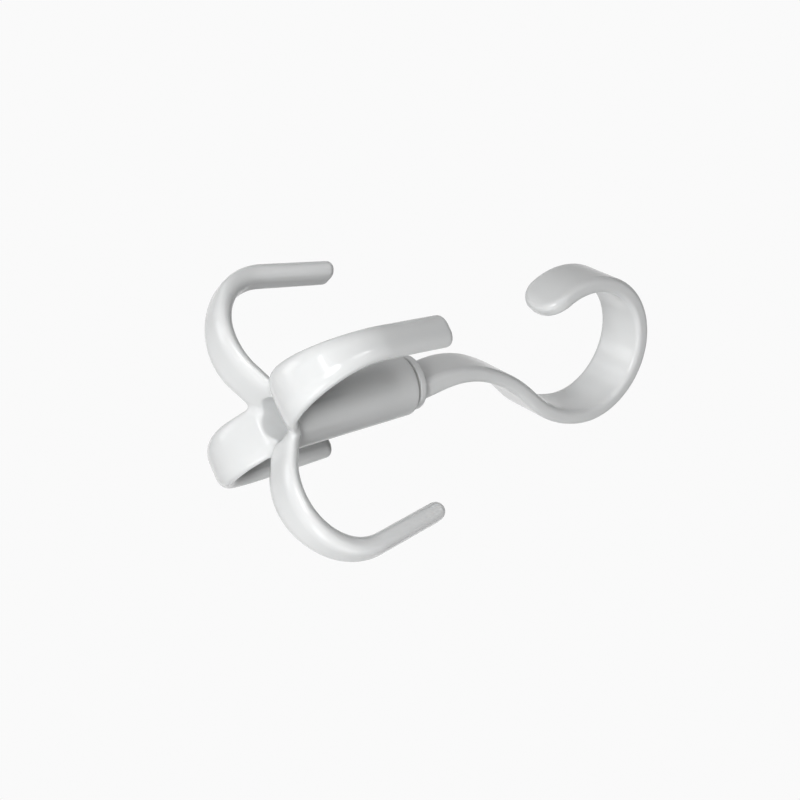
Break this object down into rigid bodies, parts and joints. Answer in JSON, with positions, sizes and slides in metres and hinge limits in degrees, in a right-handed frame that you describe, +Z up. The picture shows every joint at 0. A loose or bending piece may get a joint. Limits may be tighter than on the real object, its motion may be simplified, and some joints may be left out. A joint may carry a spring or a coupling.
{
  "type": "rotating closet hook",
  "caption": "Hanging closet hook: a flat band bent into an open loop for a closet rod, over a barrel with upturned claws that swivels freely below it.",
  "frame": {"origin": "the point where the swivel axis meets the underside of the hook's crown, which rests on the closet rod", "axes": "+Z up along the swivel axis as the object hangs; +X across the loop towards the hook's free tip; +Y across the band's width, along the rod"},
  "size_m": [0.0704, 0.0704, 0.1496],
  "materials": {
    "white_plastic": "smooth gloss, moulded",
    "natural_nylon": "satin, uncoloured",
    "zinc_steel": "bright zinc plated"
  },
  "bodies": {
    "hanger": {"hanger_hook": "white_plastic", "thrust_washer": "natural_nylon", "retaining_washer": "zinc_steel", "retaining_screw": "zinc_steel"},
    "claws": {"claw_body": "white_plastic"}
  },
  "joints": [
    {"name": "swivel", "type": "hinge", "parent": "hanger", "child": "claws", "pos_m": [0, 0, -0.11], "axis": [0, 0, 1], "continuous": true}
  ]
}
